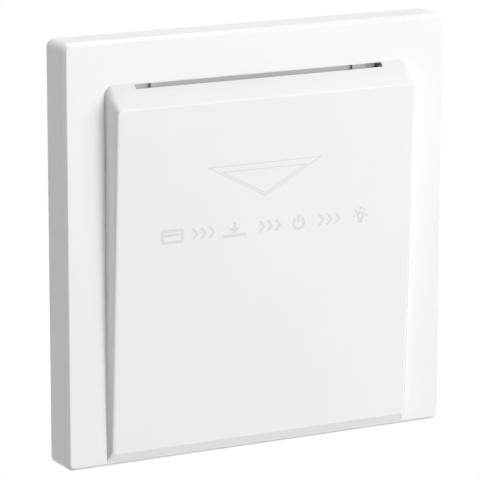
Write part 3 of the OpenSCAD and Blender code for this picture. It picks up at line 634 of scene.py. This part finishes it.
def makeFloor():
    bm = bmesh.new()
    bmesh.ops.create_grid(bm, x_segments=8, y_segments=8, size=stage["floorHalf"])
    bmesh.ops.translate(bm, vec=(0, 0, stage["floorZ"]), verts=bm.verts)
    mesh = meshFrom("floor", bm)
    made = addObject("floor", mesh)
    material, tree = blankMaterial("whitePaperSweep")
    # matt paper; seen rays get a little glow so that it reads white and still keeps the shadow
    strength = addNode(tree, "ShaderNodeMath", {"operation": "MULTIPLY"}, {1: stage["glow"]},
        {0: seenRays(tree)}).outputs["Value"]
    glow = addNode(tree, "ShaderNodeEmission", links={"Strength": strength}).outputs["Emission"]
    paper = addNode(tree, "ShaderNodeBsdfDiffuse",
        values={"Color": linear(stage["floorGrey"])}).outputs["BSDF"]
    both = addNode(tree, "ShaderNodeAddShader", links={0: paper, 1: glow}).outputs["Shader"]
    addNode(tree, "ShaderNodeOutputMaterial", links={"Surface": both})
    mesh.materials.append(material)


def makeRoom():
    # white paper glows behind the object, and the camera and reflections see plain white all round
    world = bpy.data.worlds.new("whiteRoom")
    scene.world = world
    world.use_nodes = True
    tree = world.node_tree
    tree.nodes.clear()
    way = addNode(tree, "ShaderNodeTexCoord").outputs["Generated"]
    depth = addNode(tree, "ShaderNodeSeparateXYZ", links={"Vector": way}).outputs["Y"]
    lit = addNode(tree, "ShaderNodeMapRange", {"interpolation_type": "SMOOTHSTEP"},
        {"From Min": room["edgeOut"], "From Max": room["edgeIn"], "To Min": room["dim"],
        "To Max": room["paper"]}, {"Value": depth}).outputs["Result"]
    strength = addNode(tree, "ShaderNodeMix", values={"B": 1.0},
        links={"Factor": seenRays(tree), "A": lit}).outputs["Result"]
    white = addNode(tree, "ShaderNodeBackground", values={"Color": (1, 1, 1, 1)},
        links={"Strength": strength}).outputs["Background"]
    addNode(tree, "ShaderNodeOutputWorld", links={"Surface": white})


def makeSoftBox(box):
    turn, rise = radians(box["turn"]), radians(box["rise"])
    towards = Vector((sin(turn) * cos(rise), -cos(turn) * cos(rise), sin(rise)))
    data = bpy.data.lights.new(box["name"], "AREA")
    data.shape = "DISK"
    data.size = box["across"] * mm
    data.energy = box["watts"]
    made = addObject(box["name"], data)
    made.location = towards * box["away"] * mm
    made.rotation_euler = towards.to_track_quat("Z", "Y").to_euler()


def makeCamera():
    azimuth, elevation = radians(camera["azimuth"]), radians(camera["elevation"])
    ahead = Vector((-sin(azimuth) * cos(elevation), cos(azimuth) * cos(elevation), -sin(elevation)))
    data = bpy.data.cameras.new("camera")
    data.lens = camera["lens"]
    data.sensor_width = camera["sensor"]
    data.clip_start, data.clip_end = camera["clip"]
    made = addObject("camera", data)
    made.location = (Vector(camera["aim"]) - ahead * camera["distance"]) * mm
    made.rotation_euler = ahead.to_track_quat("-Z", "Y").to_euler()
    scene.camera = made


makeFloor()
makeRoom()
for box in softBoxes:
    makeSoftBox(box)
makeCamera()
print("stage: floor, room, soft boxes and camera")

# the CAD nodes that stay: welded, their flat faces rejoined, and each hard edge broken as the mould
# or the press leaves it
cadEdges = dict(weldMm=0.03, flatAngle=0.5, hardAngle=35, steps=2, breakMm={
    "guide_abs": 0.09, "housing_nylon": 0.25, "mechanism_nylon": 0.12, "frame_steel": 0.12,
    "screw_steel": 0.08, "arm_bronze": 0.08, "contact_silver": 0.06, "terminal_brass": 0.12})
for part in frame["record"]["subparts"]:
    node, slot = cadNodes[part["node"]], part["material_slot"]
    node.data.materials.clear()
    node.data.materials.append(finishes[slot])
    if node.hide_render:           # a new piece stands in its place
        continue
    weld = node.modifiers.new("weld", "WELD")
    weld.merge_threshold = cadEdges["weldMm"] * mm
    rejoin = node.modifiers.new("rejoin", "DECIMATE")
    rejoin.decimate_type = "DISSOLVE"
    rejoin.angle_limit = radians(cadEdges["flatAngle"])
    breakEdges = node.modifiers.new("breakEdges", "BEVEL")
    breakEdges.width = cadEdges["breakMm"][slot] * mm
    breakEdges.segments = cadEdges["steps"]
    breakEdges.limit_method = "ANGLE"
    breakEdges.angle_limit = radians(cadEdges["hardAngle"])
    # the edges of the card guide's ABS pieces, painted grey for the slot's shade, all have room, and clamping would
    # flatten them
    breakEdges.use_clamp_overlap = slot != "guide_abs"
    weightNormals(node)
print("finishes on the CAD nodes")
